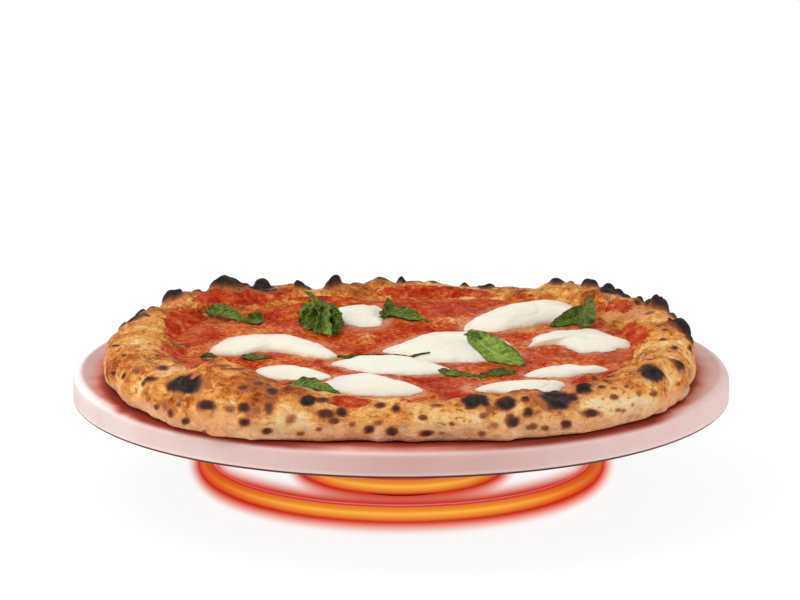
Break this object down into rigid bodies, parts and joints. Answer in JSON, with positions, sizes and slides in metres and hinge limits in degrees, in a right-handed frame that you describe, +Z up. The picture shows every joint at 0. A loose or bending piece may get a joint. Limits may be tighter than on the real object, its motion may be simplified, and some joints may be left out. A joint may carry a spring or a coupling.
{
  "type": "electric pizza baking deck",
  "caption": "Open electric pizza maker: a round baking stone above two glowing ring elements, with a pizza that lifts off the stone.",
  "frame": {"origin": "on the table, under the centre of the baking stone", "axes": "+Z up, -Y towards the front, +X to the right seen from the front; the terminal box is at +Y"},
  "size_m": [0.31, 0.31, 0.0826],
  "materials": {
    "galvanised_steel": "galvanised, satin",
    "white_enamel": "gloss enamel",
    "silicone": "matt",
    "rubber": "matt",
    "screw_steel": "zinc plated",
    "column_steel": "drawn tube, satin",
    "dark_steel": "heat-resistant black paint",
    "stainless_steel": "stainless, satin",
    "ceramic": "unglazed steatite",
    "glowing_sheath": "hot tubular sheath",
    "magnesium_oxide": "compacted powder",
    "resistance_wire": "oxidised",
    "brass": "satin",
    "lead_sleeve": "heat-resistant sleeve",
    "sensor_cap": "turned",
    "baking_stone": "fine-grained fired cordierite",
    "dough": "baked dough, blistered and charred",
    "sauce": "wet",
    "cheese": "molten, glossy",
    "basil": "wilted leaf"
  },
  "bodies": {
    "base": {"base_plate": "white_enamel", "rubber_feet": "silicone", "foot_screws": "screw_steel", "support_column": "column_steel", "column_screws": "screw_steel", "stone_support": "dark_steel", "support_screws": "screw_steel", "stone_pads": "ceramic", "element_carrier": "stainless_steel", "carrier_screws": "screw_steel", "outer_clips": "stainless_steel", "inner_clips": "stainless_steel", "clip_screws": "screw_steel", "clip_nuts": "screw_steel", "outer_element": "glowing_sheath", "inner_element": "glowing_sheath", "outer_filling": "magnesium_oxide", "inner_filling": "magnesium_oxide", "outer_coil": "resistance_wire", "inner_coil": "resistance_wire", "element_bushings": "ceramic", "element_pins": "screw_steel", "element_ferrules": "brass", "terminal_box": "galvanised_steel", "terminal_cover": "galvanised_steel", "cover_screws": "screw_steel", "terminal_block": "ceramic", "terminal_screws": "brass", "jumper_links": "brass", "earth_screw": "brass", "cord_gland": "rubber", "gland_nut": "galvanised_steel", "thermal_cutout": "ceramic", "cutout_bracket": "stainless_steel", "cutout_screws": "screw_steel", "cutout_leads": "lead_sleeve", "sensor_leads": "lead_sleeve", "lead_clips": "galvanised_steel", "sensor_guide": "brass", "sensor_spring": "stainless_steel"},
    "sensor": {"sensor_capsule": "sensor_cap", "sensor_stem": "stainless_steel", "sensor_circlip": "screw_steel"},
    "stone": {"baking_stone": "baking_stone"},
    "pizza": {"pizza_base": "dough", "pizza_crust": "dough", "tomato_sauce": "sauce", "mozzarella": "cheese", "basil_leaves": "basil"}
  },
  "joints": [
    {"name": "sensor_slide", "type": "slide", "parent": "base", "child": "sensor", "axis": [0, 0, 1], "range_m": [-0.003, 0], "stiffness_N_per_m": 200, "springref_m": 0.005, "deforming": ["sensor_spring"]},
    {"name": "stone_lift", "type": "slide", "parent": "base", "child": "stone", "axis": [0, 0, 1], "range_m": [0, 0.055]},
    {"name": "pizza_lift", "type": "slide", "parent": "stone", "child": "pizza", "axis": [0, 0, 1], "range_m": [0, 0.06]}
  ]
}
